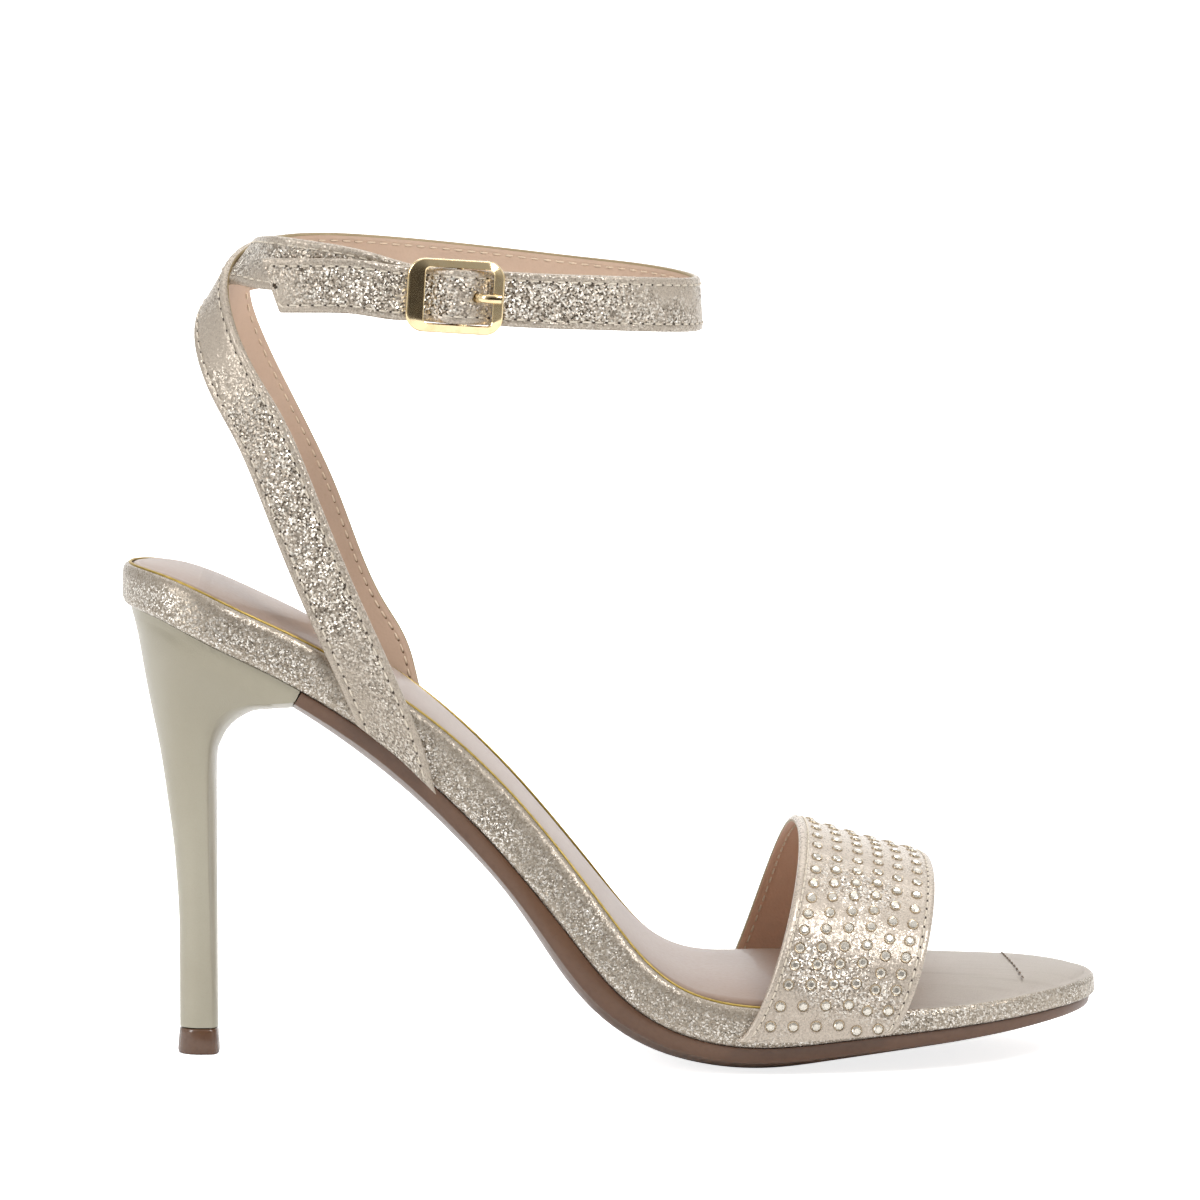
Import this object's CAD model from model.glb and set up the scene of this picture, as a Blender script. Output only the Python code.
"""Strappy heeled sandal for the right foot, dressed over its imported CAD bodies.

Metres, +Z up, +X to the toe, -Y to the outer side of the foot where the buckle sits.
The origin is the middle of the forefoot's tread, on the floor.
"""
import math

import bmesh
import bpy
import numpy as np
from mathutils import Matrix, Vector


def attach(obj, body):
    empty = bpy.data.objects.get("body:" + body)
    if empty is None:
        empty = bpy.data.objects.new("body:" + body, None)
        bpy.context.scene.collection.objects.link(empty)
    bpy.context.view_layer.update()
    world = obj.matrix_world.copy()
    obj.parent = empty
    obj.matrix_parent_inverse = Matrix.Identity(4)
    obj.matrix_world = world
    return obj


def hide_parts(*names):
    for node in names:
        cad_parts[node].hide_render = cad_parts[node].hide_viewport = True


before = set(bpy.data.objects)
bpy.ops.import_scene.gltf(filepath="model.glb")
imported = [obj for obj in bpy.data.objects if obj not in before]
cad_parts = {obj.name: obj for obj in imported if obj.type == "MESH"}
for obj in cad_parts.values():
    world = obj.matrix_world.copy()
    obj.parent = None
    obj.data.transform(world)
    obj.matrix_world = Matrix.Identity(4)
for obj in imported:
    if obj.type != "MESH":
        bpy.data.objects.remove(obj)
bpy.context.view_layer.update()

MM = 0.001

# Sizes of the shoe, as the CAD bodies have them
SHOE_LENGTH = 219.2 * MM
BALL_WIDTH = 78.0 * MM
SEAT_WIDTH = 54.0 * MM
HEEL_RISE = 96.5 * MM
FOREFOOT_EDGE = 15.0 * MM
TREAD_SHARE = 0.64
SOCK_END = 0.735
RECESS_END = 0.755
SEAT_START = 0.008
BREAST_SHARE = 0.207
OUTSOLE_START = 0.2088
UPRIGHT_END = 0.12
HEEL_ROUND = 28.0 * MM
TOE_ROUND = 51.0 * MM
GAP = 0.3 * MM
SLACK = 0.15 * MM
GLUED = 0.14 * MM                 # what shows between layers that are glued together
WRAP_DEPTH = 9.6 * MM
OUTSOLE_DEPTH = 3.2 * MM
SOLE_BELLY = 3.6 * MM
SOCK_DEPTH = 2.2 * MM
SOCK_RECESS = 1.0 * MM
SOCK_ROUND = 1.4 * MM
SOCK_PAD = 0.5
EDGE_ROUND = 1.6 * MM
RECESS_SLOPE = 0.5 * MM
OUTSOLE_INSET = 1.3 * MM
OUTSOLE_ROUND = 1.3 * MM
STRAP_WIDTH = 12.0 * MM
STRAP_WALL = 2.0 * MM
VAMP_WALL = 2.0 * MM
VAMP_RISE_REAR = 36.2 * MM
VAMP_RISE_FRONT = 28.0 * MM
TOP_LIFT_DEPTH = 5.8 * MM
HEEL_TIP_LENGTH = 8.6 * MM
HEEL_TIP_WIDTH = 8.9 * MM
HEEL_LIP_SAG = 3.2 * MM
HEEL_CORNER = 1.6 * MM
HEEL_WIDEST = 0.62
HEEL_FULLNESS = 2.2
HEEL_NARROWING = 0.12
ANKLE_HEIGHT = 172.0 * MM
LOOP_HALF_WIDTH = 26.0 * MM
BUCKLE_LENGTH = 21.4 * MM
BUCKLE_HEIGHT = 16.2 * MM
BUCKLE_WINDOW_HEIGHT = 13.0 * MM
BUCKLE_BAR = 2.0 * MM
BUCKLE_REAR_BAR = 3.6 * MM
BUCKLE_CORNER = 4.0 * MM
WINDOW_CORNER = 1.2 * MM
PRONG_RADIUS = 0.7 * MM

# The camera stands where the photograph's did
CAMERA_TURN = math.radians(-1.0)
CAMERA_RISE = math.radians(5.5)
CAMERA_DISTANCE = 1.4
CAMERA_TARGET = Vector((-33.09 * MM, 0.0, 102.4 * MM))
CAMERA_LENS = 186.9

LAST_ROWS = [
    # along, rise,   centre, half,  wrap, sole, belly, sock, crown
    (0.000, 1.0000, 0.000, 0.346, 0.95, 0.85, 0.00, 0.45, 0.30),
    (0.050, 0.9780, 0.000, 0.350, 0.98, 0.85, 0.00, 0.55, 0.36),
    (0.120, 0.9093, 0.000, 0.350, 1.00, 0.85, 0.25, 0.62, 0.40),
    (0.180, 0.8447, 0.000, 0.345, 1.02, 0.85, 0.50, 0.62, 0.36),
    (0.240, 0.7689, 0.000, 0.336, 1.05, 0.90, 0.60, 0.56, 0.25),
    (0.300, 0.6800, -0.006, 0.318, 1.09, 0.98, 0.66, 0.42, 0.12),
    (0.350, 0.5870, -0.013, 0.300, 1.11, 1.04, 0.60, 0.30, 0.10),
    (0.400, 0.4739, -0.019, 0.297, 1.09, 1.10, 0.55, 0.27, 0.10),
    (0.450, 0.3395, -0.024, 0.318, 1.04, 1.15, 0.50, 0.27, 0.10),
    (0.490, 0.2223, -0.024, 0.355, 1.00, 1.35, 0.65, 0.32, 0.10),
    (0.530, 0.1091, -0.016, 0.395, 0.97, 1.40, 0.85, 0.50, 0.15),
    (0.560, 0.0535, -0.008, 0.427, 0.95, 1.20, 1.00, 0.70, 0.30),
    (0.600, 0.0172, 0.004, 0.466, 0.94, 1.05, 1.00, 0.95, 0.60),
    (0.660, 0.0020, 0.016, 0.498, 0.90, 0.97, 1.00, 1.05, 1.10),
    (0.720, 0.0000, 0.022, 0.504, 0.76, 0.93, 0.90, 0.80, 1.70),
    (0.780, 0.0010, 0.024, 0.498, 0.62, 0.90, 0.75, 0.60, 2.40),
    (0.880, 0.0091, 0.030, 0.480, 0.51, 0.80, 0.50, 0.50, 2.40),
    (0.950, 0.0222, 0.036, 0.470, 0.50, 0.66, 0.30, 0.50, 2.10),
    (1.000, 0.0293, 0.038, 0.465, 0.50, 0.55, 0.20, 0.50, 1.50),
]
LAST_COLUMNS = ("along", "rise", "centre", "half", "wrap", "sole", "belly", "sock", "crown")
HEEL_ROWS = [
    # back_z, back_x, front_z, front_x, half, block, sag, corner
    (1.000, 0.004, 1.000, 1.000, 0.930, 1.00, 0.00, 0.00),
    (0.985, 0.012, 0.968, 0.960, 0.910, 0.97, 0.30, 0.50),
    (0.960, 0.028, 0.962, 0.740, 0.870, 0.90, 0.35, 1.00),
    (0.925, 0.047, 0.957, 0.520, 0.790, 0.78, 0.45, 1.00),
    (0.880, 0.066, 0.940, 0.290, 0.660, 0.60, 0.85, 1.00),
    (0.820, 0.091, 0.893, 0.100, 0.500, 0.42, 1.10, 1.00),
    (0.745, 0.126, 0.805, 0.022, 0.340, 0.26, 0.30, 1.00),
    (0.655, 0.169, 0.710, 0.006, 0.215, 0.12, 0.00, 1.00),
    (0.540, 0.210, 0.565, 0.004, 0.120, 0.04, 0.00, 1.00),
    (0.400, 0.251, 0.410, 0.002, 0.064, 0.00, 0.00, 0.90),
    (0.220, 0.273, 0.220, 0.000, 0.030, 0.00, 0.00, 0.70),
    (0.000, 0.273, 0.000, 0.000, 0.000, 0.00, 0.00, 0.50),
]
OUTER_STRAP_ROWS = [
    # along, side, height, look x, look y, look z
    (0.2165, -1.060, 0.6105, 0.00, -1.00, 0.02),
    (0.1750, -0.950, 0.7384, -0.10, -1.00, 0.00),
    (0.1425, -0.780, 0.8314, -0.25, -0.95, 0.05),
    (0.1195, -0.600, 0.8800, -0.45, -0.85, 0.15),
    (0.0985, -0.360, 0.9430, -0.66, -0.55, 0.36),
    (0.0975, 0.000, 0.9990, -0.82, 0.00, 0.55),
    (0.1310, 0.420, 1.0290, -0.62, 0.70, 0.40),
    (0.1860, 0.660, 1.0370, -0.30, 0.95, 0.15),
    (0.2520, 0.830, 1.0330, -0.18, 0.98, 0.05),
    (0.3250, 0.960, 1.0240, -0.08, 1.00, 0.00),
    (0.3990, 1.000, 1.0135, 0.00, 1.00, 0.00),
    (0.4725, 0.950, 1.0030, 0.15, 1.00, 0.00),
    (0.5350, 0.760, 0.9950, 0.50, 0.85, 0.03),
    (0.5745, 0.420, 0.9880, 0.88, 0.45, 0.05),
    (0.5880, 0.000, 0.9840, 1.00, 0.00, 0.06),
    (0.5765, -0.420, 0.9840, 0.88, -0.45, 0.05),
    (0.5390, -0.760, 0.9870, 0.50, -0.85, 0.03),
    (0.4770, -0.970, 0.9910, 0.15, -1.00, 0.00),
]
OUTER_TIP_ROWS = [
    (0.2520, -1.040, 1.0105, -0.10, -1.00, 0.00),
    (0.1980, -0.960, 1.0130, -0.28, -1.00, 0.00),
    (0.1480, -0.780, 1.0120, -0.45, -0.90, 0.00),
]
INNER_STRAP_ROWS = [
    (0.2440, 1.035, 0.5580, 0.00, 1.00, 0.02),
    (0.1930, 0.920, 0.7151, -0.10, 1.00, 0.00),
    (0.1450, 0.660, 0.8512, -0.30, 0.95, 0.05),
    (0.1190, 0.450, 0.9302, -0.55, 0.80, 0.15),
    (0.1110, 0.270, 0.9850, -0.74, 0.48, 0.40),
    (0.1234, 0.000, 1.0340, -0.80, 0.00, 0.58),
    (0.1400, -0.320, 1.0400, -0.66, -0.62, 0.38),
    (0.1582, -0.590, 1.0395, -0.48, -0.85, 0.12),
    (0.1972, -0.820, 1.0340, -0.28, -0.96, 0.04),
    (0.2477, -0.940, 1.0225, -0.12, -1.00, 0.00),
]
# Ends of the ankle straps on the footbed's side. along: of the last. depth: share of the wrap's depth.
OUTER_BASE_ROWS = [(0.3450, 1.55), (0.3137, 1.02), (0.2740, 0.38), (0.2330, -0.34)]
INNER_BASE_ROWS = [(0.3500, 1.45), (0.3205, 1.00), (0.2860, 0.40), (0.2590, -0.20)]
BASE_SLANT = 10.1 * MM            # how much further down the front edge of a strap's end reaches
BASE_SLANT_RUN = 27.0 * MM        # length over which that slant fades
HUG_SLACK = 0.1 * MM              # more gap where a flat strap lies on the rounded footbed
TIP_SLANT = 4.5 * MM              # how much shorter the buckled end is along its lower edge
TIP_RUN = 8.0 * MM
SIDE_REACH = 4.0 * MM             # how far above the sock a strap still keeps clear of the footbed
BUCKLE_PLACE = (0.3422, -1.135)   # middle of the frame: share of the length, share of the loop's half width
BUCKLE_TILT = math.radians(3.5)   # its front end sits lower
SEAT_SHARE = 0.350                # half the seat's width in LAST_ROWS
SEAT_END = 0.18                   # where the seat's width begins to pass over to the ball's
SEAT_RUN = 0.17

VAMP_REAR = 0.624                 # rear end of the toe strap's base, as a share of the length
VAMP_FRONT = 0.779
VAMP_REAR_SWEEP = 0.073           # how far each edge leans forward from base to top
VAMP_FRONT_SWEEP = 0.055
VAMP_INNER_SETBACK = 0.012        # the inner base sits this much further back
VAMP_FOOT = 0.80                  # its ends reach down this share of the wrap's depth
VAMP_UPRIGHT = 0.075              # share of the turn that stands upright at each end
VAMP_FULLNESS = 2.25              # 2 is an ellipse, more is squarer
VAMP_LEAN = 0.66                  # below 1 it leans forward most near its base


def natural_spline(knots, values):
    """Smooth curve through the values, as a function of the knots."""
    knots = np.asarray(knots, float)
    values = np.asarray(values, float)
    count = len(knots)
    step = np.diff(knots)
    matrix = np.eye(count)
    target = np.zeros(count)
    for i in range(1, count - 1):
        matrix[i, i - 1] = step[i - 1]
        matrix[i, i] = 2.0 * (step[i - 1] + step[i])
        matrix[i, i + 1] = step[i]
        slopes = (values[i + 1] - values[i]) / step[i] - (values[i] - values[i - 1]) / step[i - 1]
        target[i] = 6.0 * slopes
    bend = np.linalg.solve(matrix, target)

    def curve(where):
        i = int(np.clip(np.searchsorted(knots, where) - 1, 0, count - 2))
        left = (where - knots[i]) / step[i]
        right = 1.0 - left
        lift = (right ** 3 - right) * bend[i] + (left ** 3 - left) * bend[i + 1]
        return right * values[i] + left * values[i + 1] + lift * step[i] ** 2 / 6.0

    return curve


LAST = {
    name: natural_spline([row[0] for row in LAST_ROWS], [row[k] for row in LAST_ROWS])
    for k, name in enumerate(LAST_COLUMNS)
}


def edge_point(along):
    """Top edge of the footbed, in the shoe's middle plane."""
    x = SHOE_LENGTH * (along - TREAD_SHARE)
    z = FOREFOOT_EDGE + HEEL_RISE * LAST["rise"](along)
    return Vector((x, 0.0, z))


def clamped(value):
    return min(1.0, max(0.0, value))


def eased(t):
    """Soft step from 0 to 1."""
    return t * t * (3.0 - 2.0 * t)


def rounded_off(t, fullness=2.0):
    """Height of a rounding at t: 0 where it begins, 1 where it is over."""
    return math.sqrt(max(0.0, 1.0 - (1.0 - clamped(t)) ** fullness))


def edge_frame(along):
    """Point and tangent of the edge line, the way its side rises, and its length for one unit of along.

    The side rises square to the edge line, and upright at the back of the seat.
    """
    small = 0.002
    ahead = edge_point(along + small)
    behind = edge_point(along - small)
    run = ahead - behind
    tangent = run.normalized()
    normal = Vector((-tangent.z, 0.0, tangent.x))
    rising = Vector((0.0, 0.0, 1.0)).lerp(normal, eased(clamped(along / UPRIGHT_END)))
    return edge_point(along), tangent, rising / rising.dot(normal), run.length / (2.0 * small)


def end_round(along):
    """Share of the half width that is left by the rounded ends."""
    heel = rounded_off(along * SHOE_LENGTH / HEEL_ROUND)
    toe = rounded_off((1.0 - along) * SHOE_LENGTH / TOE_ROUND)
    return min(heel, toe)


def half_width(along):
    """Half the footbed's width before its ends are rounded."""
    seat = 0.5 * SEAT_WIDTH / (BALL_WIDTH * SEAT_SHARE)
    blend = eased(clamped((along - SEAT_END) / SEAT_RUN))
    return BALL_WIDTH * LAST["half"](along) * (seat + (1.0 - seat) * blend)


def outline(along, side):
    """Sideways place of the footbed's edge: side is -1 for the outer side, +1 for the inner."""
    return BALL_WIDTH * LAST["centre"](along) + side * half_width(along) * end_round(along)


def inset_point(along, side, inset):
    """Point of the outline moved inwards across it, as along and a sideways place."""
    small = 0.0015
    low = max(0.0, along - small)
    high = min(1.0, along + small)
    speed = edge_frame(along)[3]
    run = (high - low) * speed
    drift = outline(high, side) - outline(low, side)
    if along <= 1e-6:
        return along + inset / speed, outline(along, side)
    if along >= 1.0 - 1e-6:
        return along - inset / speed, outline(along, side)
    length = math.hypot(run, drift)
    step_along = side * drift / length * inset
    step_across = -side * run / length * inset
    return along + step_along / speed, outline(along, side) + step_across


def bed(along, across, height):
    """World point at a place on the footbed, height above its top edge."""
    point, _, rising, _ = edge_frame(along)
    place = point + rising * height
    place.y = across
    return place


def underside(along, share):
    """Height of the underside against its edges at a share of the half width: it bulges down."""
    return -SOLE_BELLY * LAST["belly"](along) * (1.0 - share ** 4) * end_round(along)


def bed_crown(along, share):
    """Rise of the footbed's top between its edges."""
    flat = 1.0 - abs(share) ** 2.6
    return SOCK_DEPTH * LAST["crown"](along) * flat * end_round(along)


def wrap_depth(along):
    return WRAP_DEPTH * LAST["wrap"](along)


def sole_depth(along):
    return OUTSOLE_DEPTH * LAST["sole"](along)


def sock_depth(along):
    return SOCK_DEPTH * LAST["sock"](along)


def sock_recess(along):
    """Depth of the step in the footbed's top that takes the sock. It runs out under the toe strap."""
    return SOCK_RECESS * (1.0 - clamped((along - SOCK_END) / (RECESS_END - SOCK_END)))


def sock_top(along, share):
    """Rise of the padded sock's top between its edges."""
    pad = SOCK_PAD * sock_depth(along) * (1.0 - share ** 4) * end_round(along)
    return bed_crown(along, share) + pad


def end_spaced(first, last, count, round_first, round_last):
    """Places from first to last, closer together at a rounded end."""
    places = []
    for k in range(count + 1):
        t = k / count
        if round_first and round_last:
            share = 0.65 * (0.5 - 0.5 * math.cos(math.pi * t)) + 0.35 * t
        elif round_first:
            share = 0.7 * (1.0 - math.cos(0.5 * math.pi * t)) + 0.3 * t
        else:
            share = 0.7 * math.sin(0.5 * math.pi * t) + 0.3 * t
        places.append(first + (last - first) * share)
    return places


def slab_ring(along, levels, top, bottom, spans):
    """Ring round the footbed or a layer of it: up the outer side, across, down and back below.

    levels: (inset, height) pairs from the lower to the upper edge. top and bottom: heights added
    across, for a share of the half width.
    """

    def edge(side, steps):
        return [bed(*inset_point(along, side, inset), height) for inset, height in steps]

    def across(level, rise, shares):
        inset, height = level
        left = inset_point(along, -1.0, inset)
        right = inset_point(along, 1.0, inset)
        points = []
        for share in shares:
            part = 0.5 + 0.5 * share
            u = left[0] + (right[0] - left[0]) * part
            y = left[1] + (right[1] - left[1]) * part
            points.append(bed(u, y, height + rise(along, share)))
        return points

    shares = [-1.0 + 2.0 * k / spans for k in range(1, spans)]
    ring = edge(-1.0, levels) + across(levels[-1], top, shares)
    return ring + edge(1.0, levels[::-1]) + across(levels[0], bottom, shares[::-1])


def d_outline(t):
    """Half outline of a slim ring, t from 0 at its round back to 1 at its flat front."""
    if t < HEEL_WIDEST:
        return rounded_off(t / HEEL_WIDEST, HEEL_FULLNESS)
    edge = (t - HEEL_WIDEST) / (1.0 - HEEL_WIDEST)
    return 1.0 - HEEL_NARROWING * edge ** 3


def seat_underside(t, share):
    """Place just below the footbed, t from the seat's back to the heel's front, share across."""
    along = SEAT_START + (BREAST_SHARE - SEAT_START) * t
    run = t * SHOE_LENGTH * (BREAST_SHARE - SEAT_START) / (HEEL_ROUND - SHOE_LENGTH * SEAT_START)
    half = half_width(along) * rounded_off(run)
    place = bed(along, half * share, -wrap_depth(along) - GLUED + underside(along, share))
    place.y += BALL_WIDTH * LAST["centre"](along)
    return place


def vamp_place(turn, w):
    """Point of the toe strap's middle layer: turn from the outer base to the inner, w from rear to front.

    The first and last VAMP_UPRIGHT of the turn stand upright on the footbed's side.
    """
    stand = GAP + SLACK + 0.5 * VAMP_WALL
    inner = turn > 0.5
    end = min(turn, 1.0 - turn)
    angle = 0.5 * math.pi * max(0.0, (end - VAMP_UPRIGHT) / (0.5 - VAMP_UPRIGHT))
    across = max(0.0, math.cos(angle)) ** (2.0 / VAMP_FULLNESS)
    lift = math.sin(angle) ** (2.0 / VAMP_FULLNESS)
    side = across if inner else -across
    base = VAMP_REAR + (VAMP_FRONT - VAMP_REAR) * w - VAMP_INNER_SETBACK * (0.5 + 0.5 * side)
    rise = VAMP_RISE_REAR + (VAMP_RISE_FRONT - VAMP_RISE_REAR) * w
    foot = VAMP_FOOT * wrap_depth(base)
    below = foot * max(0.0, 1.0 - end / VAMP_UPRIGHT)
    height_share = (foot - below + rise * lift) / (foot + rise)
    sweep = VAMP_REAR_SWEEP + (VAMP_FRONT_SWEEP - VAMP_REAR_SWEEP) * w
    along = base + sweep * height_share ** VAMP_LEAN
    outer_edge = min(outline(base, -1.0), outline(along, -1.0))
    inner_edge = max(outline(base, 1.0), outline(along, 1.0))
    reach = 0.5 * (inner_edge - outer_edge) + stand
    y = 0.5 * (inner_edge + outer_edge) + reach * side
    z = edge_point(base).z - below + rise * lift
    return Vector((SHOE_LENGTH * (along - TREAD_SHARE), y, z))


def table_row(row):
    """World point and outward look of one row of an ankle strap."""
    along, side, height, look_x, look_y, look_z = row
    x = SHOE_LENGTH * (along - TREAD_SHARE)
    point = Vector((x, side * LOOP_HALF_WIDTH, height * ANKLE_HEIGHT))
    return point, Vector((look_x, look_y, look_z)).normalized()


def base_row(row, side):
    """The same for a row on the footbed's side."""
    along, depth = row
    y = outline(along, side) + side * (GAP + 0.5 * STRAP_WALL)
    return bed(along, y, -depth * wrap_depth(along)), Vector((0.0, side, 0.0))


def buckle_point(ahead, outward, up):
    """World point in the buckle's own frame: towards the toe, away from the leg, and up."""
    along, side = BUCKLE_PLACE
    middle = Vector((SHOE_LENGTH * (along - TREAD_SHARE), side * LOOP_HALF_WIDTH, ANKLE_HEIGHT))
    cos_tilt = math.cos(BUCKLE_TILT)
    sin_tilt = math.sin(BUCKLE_TILT)
    shift = Vector((ahead * cos_tilt + up * sin_tilt, -outward, up * cos_tilt - ahead * sin_tilt))
    return middle + shift


OUTWARD = Vector((0.0, -1.0, 0.0))

# Layers of the buckle, measured outwards from the middle of its frame
BAR_RADIUS = 0.8 * MM
FRAME_DEPTH = 2.0 * MM
BAR_LAYER = -1.1 * MM
UNDER_LAYER = -0.5 * FRAME_DEPTH - GAP - 0.5 * STRAP_WALL
OVER_LAYER = BAR_LAYER + BAR_RADIUS + GAP + 0.5 * STRAP_WALL
END_LAYER = BAR_LAYER - BAR_RADIUS - GAP - 0.5 * STRAP_WALL
LINING_LAYER = UNDER_LAYER - STRAP_WALL - GAP
WINDOW_REAR = -0.5 * BUCKLE_LENGTH + BUCKLE_REAR_BAR
WINDOW_FRONT = 0.5 * BUCKLE_LENGTH - BUCKLE_BAR
BAR_AHEAD = 0.5 * (WINDOW_REAR + WINDOW_FRONT)
WEAVE_EASE = 0.7 * MM
WEAVE_RUN = 0.5 * (WINDOW_FRONT - WINDOW_REAR) - WEAVE_EASE


def weave_rows():
    """The outer strap under the front bar, over the middle bar and under the rear bar."""
    rows = []
    for share in (2.0, 1.5, 1.0, 0.75, 0.5, 0.25, 0.0, -0.25, -0.5, -0.75, -1.0, -1.5, -2.0):
        inside = min(1.0, abs(share))
        lift = 0.5 + 0.5 * math.cos(math.pi * inside)
        outward = UNDER_LAYER + (OVER_LAYER - UNDER_LAYER) * lift
        rows.append((buckle_point(BAR_AHEAD + share * WEAVE_RUN, outward, 0.0), OUTWARD))
    return rows


def smooth_path(rows):
    """Function from a place along a smooth curve through the rows to its point, tangent and look.

    Also gives the curve's length.
    """
    places = [0.0]
    for a, b in zip(rows[:-1], rows[1:]):
        places.append(places[-1] + (b[0] - a[0]).length)
    curves = [natural_spline(places, [row[0][k] for row in rows]) for k in range(3)]
    looks = [natural_spline(places, [row[1][k] for row in rows]) for k in range(3)]

    def at(place):
        small = 0.2 * MM
        point = Vector([curve(place) for curve in curves])
        run = Vector([curve(place + small) - curve(place - small) for curve in curves])
        tangent = run.normalized()
        look = Vector([curve(place) for curve in looks])
        look = (look - tangent * look.dot(tangent)).normalized()
        return point, tangent, look

    return at, places[-1]


def nearest_along(point):
    """Share of the last whose edge line is nearest to a point."""
    along = point.x / SHOE_LENGTH + TREAD_SHARE
    for _ in range(6):
        edge, tangent, _, speed = edge_frame(along)
        along += (point - edge).dot(tangent) / speed
    return along


def clear_of_footbed(point, side):
    """The point moved outwards where it would press into the footbed's side."""
    along = nearest_along(point)
    edge, tangent, _, _ = edge_frame(along)
    height = (point - edge).dot(Vector((-tangent.z, 0.0, tangent.x)))
    lean = max(0.0, height - SOCK_DEPTH)
    reach = outline(along, side) + side * (GAP + 0.5 * STRAP_WALL + HUG_SLACK - lean)
    if side * (reach - point.y) > 0.0 and lean < SIDE_REACH:
        point.y = reach
    return point


def outer_rows():
    rows = [base_row(row, -1.0) for row in OUTER_BASE_ROWS]
    rows += [table_row(row) for row in OUTER_STRAP_ROWS]
    rows += weave_rows()
    rows += [table_row(row) for row in OUTER_TIP_ROWS]
    return rows


def inner_rows():
    rows = [base_row(row, 1.0) for row in INNER_BASE_ROWS]
    rows += [table_row(row) for row in INNER_STRAP_ROWS]
    rows.append((buckle_point(-0.5 * BUCKLE_LENGTH, LINING_LAYER, 0.4 * MM), OUTWARD))
    rows.append((buckle_point(-0.3 * BUCKLE_LENGTH, 0.5 * (LINING_LAYER + END_LAYER), 0.1 * MM), OUTWARD))
    rows.append((buckle_point(BAR_AHEAD + BAR_RADIUS, END_LAYER, 0.0), OUTWARD))
    return rows


PRONG_REACH = 0.4 * MM            # how far the prong passes the middle of the front bar
# Knees of the prong. ahead: share of the way to the front bar. lift: share of its rise over the bar.
PRONG_ROWS = [(0.45, 0.42), (0.70, 1.00)]


def prong_points(extra=0.0):
    """Line of the prong: from beside the middle bar, through the strap and over the front bar."""
    over = 0.5 * FRAME_DEPTH + GAP + PRONG_RADIUS
    front = 0.5 * BUCKLE_LENGTH - 0.5 * BUCKLE_BAR
    start = BAR_AHEAD + BAR_RADIUS + GAP + PRONG_RADIUS
    points = [buckle_point(start - extra, BAR_LAYER - extra, 0.0)]
    for ahead, lift in PRONG_ROWS:
        points.append(buckle_point(ahead * front, BAR_LAYER + lift * (over - BAR_LAYER), 0.0))
    points.append(buckle_point(front + PRONG_REACH + extra, over, 0.0))
    return points


def rounded_rectangle(x0, x1, z0, z1, radius, steps):
    points = []
    corners = ((x1, z1, 0.0), (x0, z1, 90.0), (x0, z0, 180.0), (x1, z0, 270.0))
    for x, z, start in corners:
        middle_x = x - math.copysign(radius, x)
        middle_z = z - math.copysign(radius, z)
        for k in range(steps + 1):
            angle = math.radians(start + 90.0 * k / steps)
            points.append((middle_x + radius * math.cos(angle), middle_z + radius * math.sin(angle)))
    return points


# Meshes

MERGE_WITHIN = 0.005 * MM
SHARP_FROM = math.radians(50.0)


def linked(name, data):
    """New object in the scene."""
    obj = bpy.data.objects.new(name, data)
    bpy.context.scene.collection.objects.link(obj)
    return obj


def make_mesh(name, points, faces, slots, uvs, materials, marks=None):
    """Piece from points and faces, with a material slot for each face and a UV for each corner, in metres."""
    mesh = bpy.data.meshes.new(name)
    mesh.from_pydata([tuple(point) for point in points], [], faces)
    for mat in materials:
        mesh.materials.append(mat)
    mesh.polygons.foreach_set("material_index", slots)
    layer = mesh.uv_layers.new(name="surface")
    layer.data.foreach_set("uv", np.asarray(uvs, np.float32).ravel())
    if marks:
        mesh.attributes.new("mark", "FLOAT", "POINT").data.foreach_set("value", marks)
    bm = bmesh.new()
    bm.from_mesh(mesh)
    bmesh.ops.remove_doubles(bm, verts=bm.verts, dist=MERGE_WITHIN)
    bmesh.ops.recalc_face_normals(bm, faces=bm.faces)
    if bm.calc_volume(signed=True) < 0.0:
        bmesh.ops.reverse_faces(bm, faces=bm.faces)
    bm.to_mesh(mesh)
    bm.free()
    mesh.shade_smooth()
    mesh.set_sharp_from_angle(angle=SHARP_FROM)
    return linked(name, mesh)


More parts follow.
